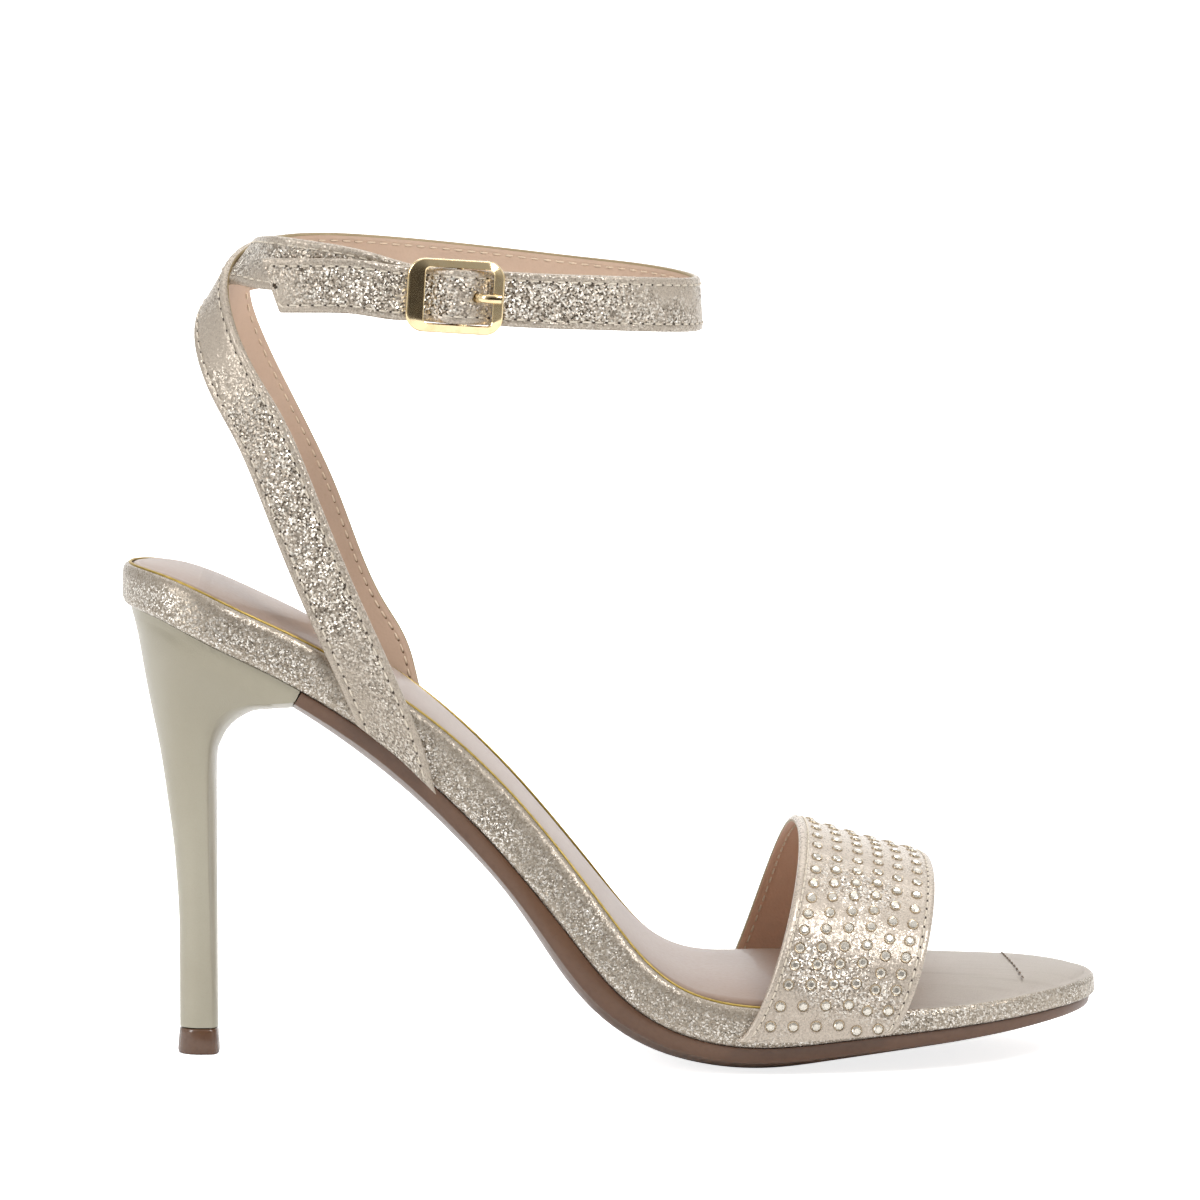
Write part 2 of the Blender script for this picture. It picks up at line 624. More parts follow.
def loft(name, rings, materials=(), slot_of=lambda i, j: 0, caps=(True, True), run=None, patch=None,
         mark_of=None):
    """Closed body through rings of points. slot_of(i, j): material slot of a face from ring i at point j.
    mark_of(i, j): a value from 0 to 1 that the point's material reads.

    The UV map runs along the piece in u and round each ring in v, both in metres.
    """
    count = len(rings[0])
    points = [point for ring in rings for point in ring]
    array = np.array([[tuple(point) for point in ring] for ring in rings])
    if run is None:
        steps = np.linalg.norm(np.diff(array.mean(axis=1), axis=0), axis=1)
        run = np.concatenate([[0.0], np.cumsum(steps)])
    closed = np.concatenate([array, array[:, :1]], axis=1)
    girth = np.linalg.norm(np.diff(closed, axis=1), axis=2)
    around = np.concatenate([np.zeros((len(rings), 1)), np.cumsum(girth, axis=1)], axis=1)
    faces, slots, uvs = [], [], []
    for i in range(len(rings) - 1):
        for j in range(count):
            k = (j + 1) % count
            faces.append((i * count + j, i * count + k, (i + 1) * count + k, (i + 1) * count + j))
            slots.append(slot_of(i, j))
            for a, b in ((i, j), (i, j + 1), (i + 1, j + 1), (i + 1, j)):
                uvs.append((run[a], around[a][b]))
    for wanted, i in zip(caps, (0, len(rings) - 1)):
        if wanted:
            faces.append(tuple(i * count + j for j in range(count)))
            slots.append(slot_of(i, 0))
            for j in range(count):
                uvs.append((run[i], around[i][j]))
    if patch:
        base = len(points)
        wide = len(patch[0])
        points += [point for row in patch for point in row]
        for i in range(len(patch) - 1):
            for j in range(wide - 1):
                a = base + i * wide + j
                faces.append((a, a + 1, a + wide + 1, a + wide))
                slots.append(0)
                uvs += [(patch[i][j].x, patch[i][j].y)] * 4
    marks = [mark_of(i, j) for i in range(len(rings)) for j in range(count)] if mark_of else None
    return make_mesh(name, points, faces, slots, uvs, materials, marks)


def wear(obj, slot_name, *nodes):
    """The piece rides with the shoe, takes its finish from a slot and may stand for CAD nodes."""
    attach(obj, "root")
    if nodes:
        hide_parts(*nodes)
    return obj


# Materials


def srgb(red, green, blue):
    """Colour as it looks on a screen, 0 to 255, in linear shares."""
    shares = [value / 255.0 for value in (red, green, blue)]
    return tuple(s / 12.92 if s <= 0.04045 else ((s + 0.055) / 1.055) ** 2.4 for s in shares) + (1.0,)


def feed(tree, inputs, values):
    """values: numbers or sockets for the inputs, by name or number."""
    for key, value in values.items():
        if isinstance(value, bpy.types.NodeSocket):
            tree.links.new(value, inputs[key])
        else:
            inputs[key].default_value = value


def add(tree, kind, values=None, **settings):
    """Node in a tree, with its settings and the values of its inputs."""
    node = tree.nodes.new(kind)
    for key, value in settings.items():
        setattr(node, key, value)
    feed(tree, node.inputs, values or {})
    return node


def maths(tree, operation, *values, clamp=False):
    inputs = dict(enumerate(values))
    return add(tree, "ShaderNodeMath", inputs, operation=operation, use_clamp=clamp).outputs[0]


def vectors(tree, operation, values):
    return add(tree, "ShaderNodeVectorMath", values, operation=operation).outputs


def mix(tree, share, first, second):
    return add(tree, "ShaderNodeMix", {0: share, 6: first, 7: second}, data_type="RGBA").outputs[2]


def ramp(tree, value, low, high):
    """0 at low and below, 1 at high and above."""
    return add(tree, "ShaderNodeMapRange", {0: value, 1: low, 2: high}).outputs[0]


def noise(tree, place, scale, detail):
    return add(tree, "ShaderNodeTexNoise", {"Vector": place, "Scale": scale, "Detail": detail}).outputs[0]


def bump(tree, height, **more):
    """Normal with a relief, its height in metres."""
    values = {"Strength": 1.0, "Distance": 1.0, "Height": height, **more}
    return add(tree, "ShaderNodeBump", values).outputs[0]


def object_place(tree):
    return add(tree, "ShaderNodeTexCoord").outputs["Object"]


def object_axis(tree, axis):
    return add(tree, "ShaderNodeSeparateXYZ", {0: object_place(tree)}).outputs[axis]


def camera_ray(tree):
    return add(tree, "ShaderNodeLightPath").outputs["Is Camera Ray"]


def group_of(name, inputs, outputs, kind="ShaderNodeTree"):
    """Empty node group with inputs (name, kind and perhaps a default) and outputs (name, kind)."""
    tree = bpy.data.node_groups.new(name, kind)
    for label, socket_kind, *default in inputs:
        socket = tree.interface.new_socket(label, in_out="INPUT", socket_type="NodeSocket" + socket_kind)
        if default:
            socket.default_value = default[0]
    for label, socket_kind in outputs:
        tree.interface.new_socket(label, in_out="OUTPUT", socket_type="NodeSocket" + socket_kind)
    return tree, tree.nodes.new("NodeGroupInput").outputs, tree.nodes.new("NodeGroupOutput").inputs


def glitter_group():
    """Leather strewn with fine metal flakes, each with its own tilt and tone, over a soft blotchy ground."""
    tree, given, out = group_of(
        "glitter flakes",
        [("Place", "Vector"), ("Flakes", "Float", 2600.0), ("Order", "Float", 1.0), ("Tilt", "Float", 0.5),
         ("Ground", "Color"), ("Dark", "Color"), ("Bright", "Color"), ("Strewn", "Float", 1.0)],
        [("Color", "Color"), ("Roughness", "Float"), ("Metallic", "Float"), ("Normal", "Vector")],
    )
    strewn = given["Strewn"]
    flake = {"Vector": given["Place"], "Scale": given["Flakes"], "Randomness": given["Order"]}
    own = add(tree, "ShaderNodeTexVoronoi", flake, voronoi_dimensions="3D", feature="F1").outputs["Color"]
    tone = add(tree, "ShaderNodeSeparateColor", {0: own}).outputs
    shine = maths(tree, "MULTIPLY", ramp(tree, tone[0], 0.60, 0.95), strewn)
    dull = maths(tree, "MULTIPLY", ramp(tree, tone[0], 0.45, 0.05), strewn)
    lean = vectors(tree, "SUBTRACT", {0: own, 1: (0.5, 0.5, 0.5)})[0]
    amount = maths(tree, "MULTIPLY", given["Tilt"], maths(tree, "MULTIPLY_ADD", strewn, 0.75, 0.25))
    leant = vectors(tree, "SCALE", {0: lean, "Scale": amount})[0]
    upright = add(tree, "ShaderNodeNewGeometry").outputs["Normal"]
    unit = vectors(tree, "NORMALIZE", {0: vectors(tree, "ADD", {0: upright, 1: leant})[0]})[0]
    relief = maths(tree, "MULTIPLY", noise(tree, given["Place"], 900.0, 2.0), 0.05 * MM)
    feed(tree, out, {
        "Color": mix(tree, shine, mix(tree, dull, given["Ground"], given["Dark"]), given["Bright"]),
        "Roughness": maths(tree, "MULTIPLY_ADD", tone[1], 0.20, 0.22),
        "Metallic": maths(tree, "MULTIPLY_ADD", strewn, 0.45, 0.30),
        "Normal": bump(tree, relief, Normal=unit),
    })
    return tree


def grain_group():
    """Fine leather grain with soft blotches: a colour shade, a roughness and a relief."""
    tree, given, out = group_of(
        "leather grain",
        [("Place", "Vector"), ("Pores", "Float", 1500.0), ("Depth", "Float", 0.03), ("Base", "Color"),
         ("Shade", "Color"), ("Rough", "Float", 0.5)],
        [("Color", "Color"), ("Roughness", "Float"), ("Normal", "Vector")],
    )
    at = {"Vector": given["Place"], "Scale": given["Pores"]}
    pores = add(tree, "ShaderNodeTexVoronoi", at).outputs["Distance"]
    fine = noise(tree, given["Place"], given["Pores"], 3.0)
    cloud = noise(tree, given["Place"], 60.0, 4.0)
    shade = maths(tree, "MULTIPLY", ramp(tree, cloud, 0.35, 0.75), 0.55)
    speck = maths(tree, "MULTIPLY", ramp(tree, fine, 0.5, 0.75), 0.35)
    relief = maths(tree, "MULTIPLY", maths(tree, "ADD", pores, fine), given["Depth"])
    feed(tree, out, {
        "Color": mix(tree, maths(tree, "ADD", shade, speck, clamp=True), given["Base"], given["Shade"]),
        "Roughness": maths(tree, "ADD", given["Rough"], maths(tree, "MULTIPLY", fine, 0.12)),
        "Normal": bump(tree, maths(tree, "MULTIPLY", relief, MM)),
    })
    return tree


GLITTER = glitter_group()
GRAIN = grain_group()


def new_material(name, metallic=0.0, coat=0.0):
    mat = bpy.data.materials.new(name)
    mat.use_nodes = True
    inputs = mat.node_tree.nodes["Principled BSDF"].inputs
    inputs["Metallic"].default_value = metallic
    inputs["Coat Weight"].default_value = coat
    return mat, mat.node_tree, inputs


def feed_shader(tree, inputs, group, values):
    """The group's outputs go to the shader's inputs of the same names."""
    for output in add(tree, "ShaderNodeGroup", values, node_tree=group).outputs:
        tree.links.new(output, inputs["Base Color" if output.name == "Color" else output.name])


def glitter_leather(name, ground, dark, bright, flakes, tilt, order=1.0, woven=False, spots=(),
                    blotch=(0.35, 0.65), margin=0.0):
    """Glitter leather. woven: flakes in the slanted rows of a cloth, laid on the piece's own map.

    spots: (world place, radius, strength) where the glitter lies thick, in millimetres. blotch: range of
    its soft patches. margin: how dark the ground is beyond the stitches.
    """
    mat, tree, inputs = new_material(name)
    place = lie = object_place(tree)
    if woven:
        turn = {"Vector": add(tree, "ShaderNodeUVMap", uv_map="surface").outputs[0], "Angle": CLOTH_SLANT}
        lie = add(tree, "ShaderNodeVectorRotate", turn, rotation_type="Z_AXIS").outputs[0]
    strewn = ramp(tree, noise(tree, place, 85.0, 3.0), *blotch)
    for spot, radius, strength in spots:
        away = vectors(tree, "DISTANCE", {0: place, 1: tuple(v * MM for v in spot)})["Value"]
        near = maths(tree, "MULTIPLY", ramp(tree, away, radius * MM, 0.3 * radius * MM), strength)
        strewn = maths(tree, "ADD", strewn, near, clamp=True)
    mark = add(tree, "ShaderNodeAttribute", attribute_name="mark").outputs["Fac"]
    bare = maths(tree, "SUBTRACT", 1.0, maths(tree, "MULTIPLY", mark, 0.75))
    feed_shader(tree, inputs, GLITTER, {
        "Place": lie, "Flakes": flakes, "Order": order, "Tilt": tilt,
        "Dark": srgb(*dark), "Bright": srgb(*bright),
        "Ground": mix(tree, maths(tree, "MULTIPLY", mark, margin), srgb(*ground), srgb(*dark)),
        "Strewn": maths(tree, "MULTIPLY", strewn, bare),
    })
    return mat


def grained_leather(name, base, shade, pores, depth, rough, coat=0.0, metallic=0.0):
    """Leather, thread or sole. pores: how many to a metre. depth: of the grain, in millimetres."""
    mat, tree, inputs = new_material(name, metallic, coat)
    feed_shader(tree, inputs, GRAIN, {
        "Place": object_place(tree), "Pores": pores, "Depth": depth, "Rough": rough,
        "Base": srgb(*base), "Shade": srgb(*shade),
    })
    return mat


def laid_over(mat, share, colour, relief=None):
    """A second colour over a share of the material's own, and a relief over its grain."""
    tree = mat.node_tree
    inputs = tree.nodes["Principled BSDF"].inputs
    below = inputs["Base Color"].links[0].from_socket
    tree.links.new(mix(tree, share, below, srgb(*colour)), inputs["Base Color"])
    if relief is not None:
        tree.links.new(bump(tree, relief, Normal=inputs["Normal"].links[0].from_socket), inputs["Normal"])
    return mat


def shade_by_height(mat, low, high, top_colour):
    """The colour turns to top_colour between two heights."""
    tree = mat.node_tree
    return laid_over(mat, ramp(tree, object_axis(tree, 2), low, high), top_colour)


def heel_pad(mat, front, light):
    """The soft pad under the heel: a faint raised edge across the sock, and a lighter tone behind it."""
    tree = mat.node_tree
    pad = ramp(tree, object_axis(tree, 0), front + PAD_EDGE, front - PAD_EDGE)
    return laid_over(mat, maths(tree, "MULTIPLY", pad, 0.8), light, maths(tree, "MULTIPLY", pad, PAD_RISE))


def streaked(mat, dark):
    """Long faint streaks and fine lines along the shoe, as in a brushed cloth."""
    tree = mat.node_tree
    long_way = vectors(tree, "MULTIPLY", {0: object_place(tree), 1: (0.05, 1.0, 0.0)})[0]
    broad = noise(tree, long_way, 260.0, 4.0)
    fine = noise(tree, long_way, 1500.0, 2.0)
    share = maths(tree, "ADD", maths(tree, "MULTIPLY", ramp(tree, broad, 0.56, 0.70), 0.40),
                  maths(tree, "MULTIPLY", ramp(tree, fine, 0.56, 0.75), 0.22), clamp=True)
    return laid_over(mat, share, dark, maths(tree, "MULTIPLY", maths(tree, "ADD", broad, fine), 0.10 * MM))


def polished_metal(name, colour, dull, rough):
    mat, tree, inputs = new_material(name, 1.0)
    haze = noise(tree, object_place(tree), 500.0, 4.0)
    feed(tree, inputs, {"Base Color": mix(tree, ramp(tree, haze, 0.45, 0.8), srgb(*colour), srgb(*dull)),
                        "Roughness": maths(tree, "MULTIPLY_ADD", haze, 0.12, rough)})
    return mat


CLOTH_SLANT = math.radians(38.0)
PAD_EDGE = 1.2 * MM               # half the width of the heel pad's edge
PAD_RISE = 0.35 * MM
PAD_FRONT = -121.0 * MM           # where its front edge crosses the sock

strap_leather = glitter_leather(
    "strap glitter", (180, 168, 153), (84, 74, 62), (255, 249, 238), flakes=2700.0, tilt=1.0, order=0.55,
    woven=True, blotch=(0.30, 0.62),
    spots=[((-80.0, -27.0, 172.0), 16.0, 0.8), ((-100.0, -26.0, 140.0), 18.0, 0.7),
           ((-41.0, -30.0, 170.0), 17.0, 1.0), ((-92.0, -27.0, 118.0), 16.0, 0.8),
           ((-118.0, -14.0, 163.0), 20.0, -0.9), ((-66.0, -33.0, 80.0), 14.0, -0.7)])
wrap_leather = glitter_leather(
    "wrap glitter", (168, 157, 142), (136, 124, 109), (255, 250, 242), flakes=3300.0, tilt=0.60,
    blotch=(0.15, 0.60), margin=0.45)
vamp_leather = glitter_leather(
    "toe strap glitter", (190, 178, 164), (150, 136, 120), (255, 251, 243), flakes=3000.0, tilt=0.85,
    blotch=(0.56, 0.85),
    spots=[((12.0, -38.0, 25.0), 8.0, 0.9), ((18.0, -38.0, 20.5), 9.0, 1.0), ((28.0, -37.0, 17.0), 8.0, 0.9),
           ((20.0, -27.0, 45.5), 10.0, 0.9), ((27.5, -28.0, 41.0), 9.0, 0.9)])
# In these rows: base colour, shade, pores to a metre, depth, roughness, coat, metallic
toe_cloth = grained_leather("toe cover", (170, 161, 151), (157, 147, 137), 2200.0, 0.05, 0.42, 0.0, 0.15)
sock_leather = grained_leather("sock leather", (143, 121, 106), (136, 113, 98), 1100.0, 0.012, 0.34, 0.12)
strap_lining = grained_leather("strap lining", (198, 171, 149), (186, 158, 136), 1500.0, 0.02, 0.5)
vamp_lining = grained_leather("toe strap lining", (222, 181, 154), (210, 168, 141), 1500.0, 0.02, 0.5)
strap_edge = grained_leather("strap edge", (158, 140, 106), (134, 116, 84), 3000.0, 0.03, 0.42, 0.0, 0.25)
sole_brown = grained_leather("sole brown", (101, 72, 52), (86, 59, 42), 900.0, 0.02, 0.28, 0.16)
heel_satin = grained_leather("heel satin", (173, 167, 149), (166, 159, 140), 2600.0, 0.03, 0.34, 0.35, 0.35)
lift_brown = grained_leather("top lift brown", (102, 73, 54), (84, 58, 42), 700.0, 0.01, 0.18, 0.6)
thread_outside = grained_leather("thread outside", (222, 212, 196), (196, 184, 166), 4000.0, 0.03, 0.6)
thread_inside = grained_leather("thread lining", (226, 206, 182), (200, 176, 150), 4000.0, 0.03, 0.6)
seam_thread = grained_leather("toe cover thread", (128, 112, 98), (104, 90, 78), 3000.0, 0.02, 0.6)
hole_dark = grained_leather("needle hole", (62, 50, 40), (40, 32, 26), 3000.0, 0.02, 0.7)
lining_hole = grained_leather("lining needle hole", (112, 88, 68), (92, 70, 54), 3000.0, 0.02, 0.7)
clear_stone = grained_leather("clear stone", (228, 222, 211), (200, 192, 178), 300.0, 0.0, 0.05, 0.8, 0.7)
gold_metal = polished_metal("pale gold", (255, 232, 186), (242, 212, 158), 0.08)
gold_edge = polished_metal("gold edge", (184, 158, 88), (150, 126, 66), 0.38)
cup_metal = polished_metal("stone cup", (190, 174, 150), (160, 144, 120), 0.28)
streaked(toe_cloth, (140, 128, 116))
heel_pad(sock_leather, PAD_FRONT, (151, 129, 115))
shade_by_height(heel_satin, 50.0 * MM, 96.0 * MM, (157, 150, 131))


# Fine sides of the layers, from the lower edge up: inset, share of the layer's depth. The insets are
# millimetres at the footbed and shares of the layer's rounding at the other two.
WRAP_SIDE = [
    (1.60, 1.000), (1.20, 0.995), (0.80, 0.975), (0.45, 0.945), (0.20, 0.905), (0.05, 0.850), (0.00, 0.780),
    (0.00, 0.660), (0.00, 0.550), (0.00, 0.440), (0.02, 0.340), (0.08, 0.250), (0.20, 0.175), (0.42, 0.100),
    (0.75, 0.040), (1.15, 0.005), (1.60, 0.000),
]
SOCK_SIDE = [
    (0.15, 0.00), (0.05, 0.10), (0.00, 0.25), (0.00, 0.40), (0.07, 0.55), (0.18, 0.68), (0.34, 0.80),
    (0.55, 0.90), (0.78, 0.965), (1.00, 1.00),
]
OUTSOLE_SIDE = [
    (1.00, 1.00), (0.80, 0.985), (0.55, 0.92), (0.33, 0.78), (0.17, 0.58), (0.06, 0.36), (0.00, 0.12),
    (0.04, 0.0),
]
# Section of the straps. from the edge, millimetres: then height over the middle layer, millimetres
STRAP_OUTSIDE = [
    (0.00, -0.30), (0.00, 0.20), (0.06, 0.52), (0.24, 0.80), (0.55, 0.97), (0.95, 1.03), (1.35, 1.00),
    (1.62, 0.90), (1.78, 0.90), (2.05, 1.00), (2.60, 1.05),
]
STRAP_INSIDE = [
    (0.05, -0.52), (0.20, -0.74), (0.50, -0.88), (0.66, -0.84), (0.85, -0.97), (1.35, -0.99), (1.70, -0.90),
    (2.05, -0.99), (2.60, -1.01),
]
SECTION_EDGE = 2.6 * MM           # the last of these places. The section is flat further in.
SECTION_STEP = 1.1 * MM
SEAM_MARGIN = 2.0 * MM            # the glitter is thinner between the edge and the stitches
MARGIN_FADE = 0.6 * MM


def strap_section(half):
    """Closed section: (place across, height, material slot of the face that follows) in order round it."""
    middle = int((half - SECTION_EDGE) / SECTION_STEP)

    def layer(rows):
        side = [(half - d * MM, h * MM) for d, h in rows]
        end, level = side[-1]
        side += [(end * (1.0 - k / (middle + 1)), level) for k in range(1, middle + 1)]
        return side + [(0.0, level)] + [(-x, h) for x, h in reversed(side)]

    top = [(-x, h, 0) for x, h in layer(STRAP_OUTSIDE)]
    section = top + [(x, h, 1) for x, h in layer(STRAP_INSIDE)]
    for k in (len(top) - 1, len(top), len(top) + 1, -2, -1):
        section[k] = (*section[k][:2], 2)
    return section


def strap_loft(name, rings, section, half, leather, lining, run=None):
    """Strap with its leather outside, its lining inside and a cut edge. Its margins are marked."""
    slots = [slot for _, _, slot in section]
    margins = [clamped((SEAM_MARGIN - (half - abs(across))) / MARGIN_FADE) for across, _, _ in section]
    return loft(name, rings, [leather, lining, strap_edge], lambda i, j: slots[j], run=run,
                mark_of=lambda i, j: margins[j])


# Rounding of a strap's cut end. from the end, millimetres: then share of the height that is left
END_ROUND = [(0.00, 0.25), (0.06, 0.55), (0.18, 0.80), (0.38, 0.94), (0.70, 1.00)]
END_REACH = 0.8 * MM
STRAP_RINGS = 0.9 * MM            # distance between the rings of an ankle strap
VAMP_RINGS = 180


def ankle_surface(rows, front, tip_cut):
    """Function from a place along and across an ankle strap to its point, tangent and outward look.

    Also gives its length. front: 1 for the outer strap, -1 for the inner one.
    tip_cut: 1 for a slanted end, 0 for a straight one.
    """
    at, length = smooth_path(rows)
    known = {}

    def spot(place, across):
        share = across / (0.5 * STRAP_WIDTH)
        slant = BASE_SLANT * max(0.0, 1.0 - (place - BASE_SLANT) / BASE_SLANT_RUN)
        clip = TIP_SLANT * tip_cut * max(0.0, 1.0 - (length - place) / TIP_RUN)
        key = round(place - slant * share * front - 0.5 * clip * (1.0 - share), 7)
        if key not in known:
            known[key] = at(key)
        point, tangent, look = known[key]
        point = point + tangent.cross(look) * across
        if place < 2.0 * BASE_SLANT + BASE_SLANT_RUN:
            point = clear_of_footbed(point, -front)
        return point, tangent, look

    return spot, length


def ankle_strap(name, surface):
    spot, length = surface
    section = strap_section(0.5 * STRAP_WIDTH)
    reach = length - BASE_SLANT - 2.0 * END_REACH
    count = round(reach / STRAP_RINGS)
    places = [(BASE_SLANT + d * MM, share) for d, share in END_ROUND]
    places += [(BASE_SLANT + END_REACH + reach * k / count, 1.0) for k in range(count + 1)]
    places += [(length - d * MM, share) for d, share in reversed(END_ROUND)]
    rings = []
    for place, share in places:
        ring = []
        for across, height, _ in section:
            point, _, look = spot(place, across)
            ring.append(point + look * (height * share))
        rings.append(ring)
    run = [place for place, _ in places]
    return strap_loft(name, rings, section, 0.5 * STRAP_WIDTH, strap_leather, strap_lining, run)


def vamp_frame(turn, w):
    """Point, outward normal and tangent along the turn of the toe strap's middle layer."""
    small = 0.002
    run = vamp_place(min(1.0, turn + small), w) - vamp_place(max(0.0, turn - small), w)
    wide = vamp_place(turn, w + small) - vamp_place(turn, w - small)
    return vamp_place(turn, w), wide.cross(run).normalized(), run.normalized()


def vamp_width(turn):
    return (vamp_place(turn, 1.0) - vamp_place(turn, 0.0)).length


def vamp_body():
    base = 0.5 * vamp_width(0.2)
    section = strap_section(base)
    rings = []
    for k in range(VAMP_RINGS + 1):
        turn = k / VAMP_RINGS
        half = 0.5 * vamp_width(turn)
        ring = []
        for across, height, _ in section:
            reach = half - base + abs(across)
            if base - abs(across) > SECTION_EDGE + 0.1 * MM:
                reach = abs(across) * (half - SECTION_EDGE) / (base - SECTION_EDGE)
            point, normal, _ = vamp_frame(turn, 0.5 + 0.5 * math.copysign(reach, across) / half)
            ring.append(point + normal * height)
        rings.append(ring)
    return strap_loft("toe_strap", rings, section, base, vamp_leather, vamp_lining)


BED_RINGS = 170
BED_SPANS = 24                    # faces across the footbed and the outsole, above and below
SOCK_RINGS = 150
SOCK_SPANS = 28
OUTSOLE_RINGS = 150
TOE_COVER = 0.74                  # share of the length from which the top is covered
BEAD_END = 0.70                   # and up to which the side has a bare bead along its top edge
BEAD_DEPTH = 0.36                 # share of the side's depth where the bead ends
BEAD_FADE = 0.16


def footbed_body():
    places = end_spaced(0.0, 1.0, BED_RINGS, True, True)
    rings = []
    for along in places:
        levels = [(inset * MM, -wrap_depth(along) * depth) for inset, depth in WRAP_SIDE]
        levels.append((EDGE_ROUND + RECESS_SLOPE, -sock_recess(along)))
        rings.append(slab_ring(along, levels, bed_crown, underside, BED_SPANS))
    count = len(WRAP_SIDE) + 1
    across = BED_SPANS - 1

    def slot_of(i, j):
        on_top = count - 4 <= j < count + across + 3
        return 1 if on_top and places[i] > TOE_COVER else 0

    def mark_of(i, j):
        level = j if j < count else 2 * count + across - 1 - j
        if not 0 <= level < len(WRAP_SIDE) or places[i] > BEAD_END:
            return 0.0
        return clamped((BEAD_DEPTH - WRAP_SIDE[level][1]) / BEAD_FADE)

    return loft("footbed", rings, [wrap_leather, toe_cloth], slot_of, caps=(False, False), mark_of=mark_of)


def sock_body():
    rings = []
    inner = EDGE_ROUND + RECESS_SLOPE + GAP
    for along in end_spaced(0.0, SOCK_END, SOCK_RINGS, True, False):
        start = GAP + SLACK - sock_recess(along)
        levels = [(inner + SOCK_ROUND * inset, start + sock_depth(along) * up) for inset, up in SOCK_SIDE]
        rings.append(slab_ring(along, levels, sock_top, bed_crown, SOCK_SPANS))
    return loft("padded_sock", rings, [sock_leather], caps=(False, True))


def outsole_body():
    rings = []
    for along in end_spaced(OUTSOLE_START, 1.0, OUTSOLE_RINGS, False, True):
        start = wrap_depth(along) + GLUED
        deep = sole_depth(along) + GAP + SLACK
        levels = [(OUTSOLE_INSET + OUTSOLE_ROUND * d, -start - deep * down) for d, down in OUTSOLE_SIDE]
        ring = slab_ring(along, levels, underside, underside, BED_SPANS)
        rings.append([Vector((p.x, p.y, max(p.z, 0.0))) for p in ring])
    return loft("brown_outsole", rings, [sole_brown], caps=(True, False))


def steady_curve(values):
    """Smooth curve through evenly spaced values that never swings past them."""
    values = np.asarray(values, float)
    step = np.diff(values)
    slope = np.zeros(len(values))
    for i in range(1, len(values) - 1):
        if step[i - 1] * step[i] > 0.0:
            slope[i] = 2.0 * step[i - 1] * step[i] / (step[i - 1] + step[i])
    slope[0] = step[0]
    slope[-1] = step[-1]

    def curve(where):
        i = min(int(where), len(values) - 2)
        t = where - i
        bend = slope[i] * t * (1.0 - t) ** 2 - slope[i + 1] * t * t * (1.0 - t)
        return values[i] + step[i] * eased(t) + bend

    return curve


def heel_place(row):
    """Function from (t, share) to the places of one heel ring, tilted from the seat's slope to level."""
    back_z, back_x, front_z, front_x, half, block, sag, corner = row
    seat_back = seat_underside(0.0, 1.0)
    seat_front = seat_underside(1.0, 1.0)
    run = seat_front.x - seat_back.x
    tip_front = seat_back.x + run * HEEL_ROWS[-1][1] + HEEL_TIP_LENGTH
    floor = TOP_LIFT_DEPTH + GAP
    back = Vector((seat_back.x + run * back_x, 0.0, floor + (seat_back.z - floor) * back_z))
    front_at = tip_front + (seat_front.x - tip_front) * front_x
    front = Vector((front_at, 0.0, floor + (seat_front.z - floor) * front_z))
    widest = 0.5 * HEEL_TIP_WIDTH + 0.5 * (SEAT_WIDTH - HEEL_TIP_WIDTH) * half

    def place(t, share):
        under = seat_underside(t, share)
        level = back.lerp(front, t)
        straight = seat_back.lerp(seat_front, t)
        wide = under.y * widest / (0.5 * SEAT_WIDTH)
        narrow = widest * d_outline(t) * share
        across = block * wide + (1.0 - block) * narrow
        rise = level.z + block * (under.z - straight.z) - HEEL_LIP_SAG * sag * t ** 3 * (1.0 - share * share)
        setback = HEEL_CORNER * corner * t ** 6 * share ** 4
        return Vector((level.x + block * (under.x - straight.x) - setback, across, rise))

    return place


HEEL_RINGS = 88
HEEL_AROUND = 36
HEEL_ACROSS = 16
HEEL_STEPS = [0.5 - 0.5 * math.cos(math.pi * k / HEEL_AROUND) for k in range(HEEL_AROUND + 1)]


def heel_ring(place):
    ring = [place(t, -1.0) for t in reversed(HEEL_STEPS)]
    ring += [place(t, 1.0) for t in HEEL_STEPS[1:]]
    return ring + [place(1.0, 1.0 - 2.0 * k / HEEL_ACROSS) for k in range(1, HEEL_ACROSS)]


def heel_body():
    curves = [steady_curve([row[k] for row in HEEL_ROWS]) for k in range(len(HEEL_ROWS[0]))]
    last = len(HEEL_ROWS) - 1
    rings = []
    for k in range(HEEL_RINGS + 1):
        where = last * k / HEEL_RINGS
        rings.append(heel_ring(heel_place([curve(where) for curve in curves])))
    place = heel_place(HEEL_ROWS[0])
    seat = [[place(t, -1.0 + 2.0 * k / HEEL_ACROSS) for k in range(HEEL_ACROSS + 1)] for t in HEEL_STEPS]
    return loft("covered_heel", rings, [heel_satin], caps=(False, True), patch=seat)


# Top lift. share of its height: then share of the heel's tip
TOP_LIFT_ROWS = [
    (0.00, 1.020), (0.02, 1.060), (0.07, 1.085), (0.16, 1.100), (0.50, 1.070), (0.85, 1.030), (0.96, 1.015),
    (1.00, 0.970),
]


def top_lift_body():
    base = heel_ring(heel_place(HEEL_ROWS[-1]))
    centre = sum(p.x for p in base) / len(base)
    rings = []
    for height, spread in TOP_LIFT_ROWS:
        z = TOP_LIFT_DEPTH * height
        rings.append([Vector((centre + (p.x - centre) * spread, p.y * spread, z)) for p in base])
    return loft("heel_tip", rings, [lift_brown])


def discard(obj):
    data = obj.data
    bpy.data.objects.remove(obj)
    bpy.data.meshes.remove(data)


